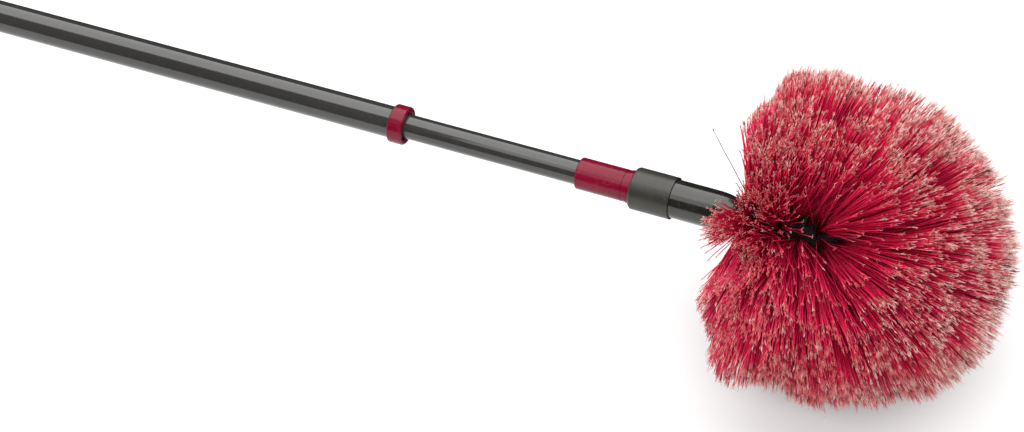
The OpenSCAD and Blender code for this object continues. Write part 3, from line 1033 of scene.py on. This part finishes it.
    def build(self, shop: FinishShop) -> None:
        """Build the core and all the rings, dressed and riding on the head.

        Args:
            shop: Where the materials come from.
        """
        tufts, laid = self.lay_out()
        core = self.core.build(tufts.seat, tufts.way)
        core.data.materials.append(shop.material(Slot.BLACK))
        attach(core, HEAD_BODY)
        LOG.info("%s: %d faces", core.name, len(core.data.polygons))
        for number in range(self.rings):
            piece = self.build_ring(number, laid)
            piece.data.materials.append(shop.material(Slot.BRISTLE))
            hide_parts(f"tuft_ring_{number + 1}")
            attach(piece, HEAD_BODY)
            LOG.info("%s: %d faces", piece.name, len(piece.data.polygons))


@dataclass
class CarriedParts:
    """Sub-assembly whose nodes are carried over from the frame, each slot with the nodes that it dresses."""

    dressing: Dressing

    def build(self, shop: FinishShop) -> None:
        """Dress the sub-assembly's nodes.

        Args:
            shop: Where the materials come from.
        """
        for slot, nodes in self.dressing:
            for node in nodes:
                shop.dress(node, slot)


@dataclass
class Pole(CarriedParts):
    """Both pole tubes with their end pieces."""

    dressing: Dressing = (
        (Slot.POLE_PAINT, ("outer_tube", "inner_tube")),
        (Slot.BLACK, ("hang_cap", "guide_bush")),
        (Slot.CRIMSON, ("end_collar", "ferrule", "thread_washer")),
    )


@dataclass
class TwistLock(CarriedParts):
    """Cam, split ring and their fastenings inside the outer tube."""

    dressing: Dressing = (
        (Slot.NYLON, ("lock_ring", "cam_plug")),
        (Slot.STEEL, ("plug_pin", "retainer_disc", "retainer_screw")),
    )


@dataclass
class SocketAndStem(CarriedParts):
    """Socket sleeve, glossy neck and the bolt that draws the core on."""

    dressing: Dressing = (
        (Slot.SLEEVE, ("socket_sleeve",)),
        (Slot.NECK, ("neck",)),
        (Slot.STEEL, ("stem_bolt", "stem_washer", "stem_nut")),
    )


@dataclass
class Studio:
    """Pale floor, soft lamps, dark cards that only reflections see, and the camera.

    Lengths are in metres. An edge along X is given as its y and z, and ends as the lowest and highest x.
    """

    aim: Triple = (0.2585, 0.0, 0.0201)
    camera_at: Triple = (1.0190, -1.77596, 2.52965)
    lens: float = 141.7
    sensor: float = 36.0
    far_clip: float = 50.0
    floor_half: float = 9.0
    floor_level: float = -0.0002
    floor_white: float = 0.60
    floor_lift: float = 0.16
    floor_far: Pair = (1.5, 3.2)
    card_half: float = 6.0
    card_grey: float = 0.01
    card_edges: tuple[tuple[str, Pair, Pair], ...] = (
        ("dark_card_front", (-4.2, 0.02), (-1.2, 3.9)),
        ("dark_card_back", (3.4, 0.01), (3.6, 1.9)),
        ("dark_card_runner", (0.045, 0.004), (3.4, 0.01)),
    )
    tent_radiance: float = 1.95
    tent_edges: tuple[Pair, Pair] = ((-0.45, 1.95), (1.75, 1.0))
    tent_ends: Pair = (-2.6, 2.2)
    apron_edges: tuple[Pair, Pair] = ((-1.35, 1.52), (-0.45, 1.95))
    apron_ends: Pair = (-0.62, -0.15)
    fill_radiance: float = 5.2
    fill_edges: tuple[Pair, Pair] = ((-2.6, 2.1), (-1.6, 3.3))
    fill_ends: Pair = (-0.8, 2.0)
    world_fill: float = 0.70

    def _panel(self, name: str, front: Pair, back: Pair, half: float) -> bpy.types.Object:
        """Build a flat panel between two edges along X.

        Args:
            name: Name of the panel.
            front: First edge.
            back: Second edge.
            half: Half of its width along X.

        Returns:
            The panel's object.
        """
        maker = MeshMaker()
        points = np.array([[-half, *front], [half, *front], [half, *back], [-half, *back]])
        maker.add(points, [np.array([[0, 1, 2, 3]])])
        return maker.write(name, smooth=False)

    def _bare(self, holder: bpy.types.ID) -> NodeBench:
        """Empty the node tree of a material or of the world.

        Args:
            holder: The material or world.

        Returns:
            A bench on its tree.
        """
        holder.use_nodes = True
        holder.node_tree.nodes.clear()
        return NodeBench(holder.node_tree)

    def _seen(self, bench: NodeBench) -> bpy.types.NodeSocket:
        """Tell the rays that show something from those that only light.

        Args:
            bench: Where the nodes go.

        Returns:
            A socket that is 1 for camera, glossy and transmission rays.
        """
        path = bench.add("LightPath")
        seen = bench.maths("MAXIMUM", path.outputs["Is Camera Ray"], path.outputs["Is Glossy Ray"])
        return bench.maths("MAXIMUM", seen, path.outputs["Is Transmission Ray"])

    def floor(self) -> None:
        """Build the pale floor, which keeps the shadow and glows to full white far from the brush."""
        half = self.floor_half
        plane = self._panel("studio_floor", (-half, self.floor_level), (half, self.floor_level), half)
        material = bpy.data.materials.new("studio_floor")
        bench = self._bare(material)
        matt = bench.add("BsdfDiffuse", Color=(*[self.floor_white] * 3, 1.0))
        away = bench.add("VectorMath", operation="LENGTH")
        bench.feed(away.inputs[0], bench.add("TexCoord").outputs["Object"])
        near, far = self.floor_far
        lift = bench.add(
            "MapRange", interpolation_type="SMOOTHSTEP", Value=away.outputs["Value"],
            From_Min=near, From_Max=far, To_Min=self.floor_lift, To_Max=1.0,
        )
        strength = bench.maths("MULTIPLY", self._seen(bench), lift.outputs["Result"])
        glow = bench.add("Emission", Strength=strength)
        both = bench.add("AddShader")
        bench.feed(both.inputs[0], matt.outputs[0])
        bench.feed(both.inputs[1], glow.outputs[0])
        bench.add("OutputMaterial", Surface=both.outputs[0])
        plane.data.materials.append(material)

    def cards(self) -> None:
        """Build the dark cards in front, behind and on the floor, which give gloss its dark bands."""
        material = bpy.data.materials.new("dark_card")
        bench = self._bare(material)
        dull = bench.add("BsdfDiffuse", Color=(*[self.card_grey] * 3, 1.0))
        bench.add("OutputMaterial", Surface=dull.outputs[0])
        for name, front, back in self.card_edges:
            panel = self._panel(name, front, back, self.card_half)
            panel.data.materials.append(material)
            panel.visible_camera = False
            panel.visible_diffuse = False
            panel.visible_shadow = False
            panel.visible_transmission = False

    def _lamp(self, name: str, edges: tuple[Pair, Pair], ends: Pair, radiance: float) -> bpy.types.Object:
        """Place a flat soft lamp between two edges along X, shining down.

        Args:
            name: Name of the lamp.
            edges: Its two long edges.
            ends: Its ends.
            radiance: How bright its surface is.

        Returns:
            The lamp's object.
        """
        (y0, z0), (y1, z1) = edges
        depth, width = math.hypot(y1 - y0, z1 - z0), ends[1] - ends[0]
        lamp = bpy.data.lights.new(name, "AREA")
        lamp.shape = "RECTANGLE"
        lamp.size, lamp.size_y = width, depth
        lamp.energy = radiance * math.pi * width * depth
        holder = bpy.data.objects.new(name, lamp)
        bpy.context.scene.collection.objects.link(holder)
        holder.location = ((ends[0] + ends[1]) / 2, (y0 + y1) / 2, (z0 + z1) / 2)
        down = Vector((0.0, z1 - z0, y0 - y1)).normalized()
        holder.rotation_euler = down.to_track_quat("-Z", "Y").to_euler()
        holder.visible_camera = False
        return holder

    def lamps(self) -> None:
        """Build the soft tent, its apron over the outer tube, and the fill, which reflections don't show."""
        self._lamp("soft_tent", self.tent_edges, self.tent_ends, self.tent_radiance)
        self._lamp("soft_apron", self.apron_edges, self.apron_ends, self.tent_radiance)
        fill = self._lamp("front_fill", self.fill_edges, self.fill_ends, self.fill_radiance)
        fill.visible_glossy = False

    def world(self) -> None:
        """Set a surround that is seen as white and lights the brush at less than that."""
        world = bpy.data.worlds.new("studio_white")
        bench = self._bare(world)
        seen = self._seen(bench)
        strength = bench.maths("ADD", bench.maths("MULTIPLY", seen, 1.0 - self.world_fill), self.world_fill)
        light = bench.add("Background", Color=(1.0, 1.0, 1.0, 1.0), Strength=strength)
        bench.add("OutputWorld", Surface=light.outputs[0])
        bpy.context.scene.world = world

    def camera(self) -> None:
        """Place the camera at the photograph's view."""
        data = bpy.data.cameras.new("photo_view")
        data.lens = self.lens
        data.sensor_width = self.sensor
        data.clip_end = self.far_clip
        holder = bpy.data.objects.new("photo_view", data)
        bpy.context.scene.collection.objects.link(holder)
        holder.location = self.camera_at
        look = Vector(self.aim) - Vector(self.camera_at)
        holder.rotation_euler = look.to_track_quat("-Z", "Y").to_euler()
        bpy.context.scene.camera = holder

    def build(self) -> None:
        """Build the whole studio."""
        self.camera()
        self.floor()
        self.cards()
        self.lamps()
        self.world()
        bpy.context.scene.view_settings.view_transform = "Standard"


def main() -> None:
    """Build the studio and the brush."""
    logging.basicConfig(level=logging.INFO, format="%(message)s")
    shop = FinishShop()
    Studio().build()
    Pole().build(shop)
    TwistLock().build(shop)
    SocketAndStem().build(shop)
    BristleHead(PoleLine()).build(shop)


if __name__ == "__main__":
    main()
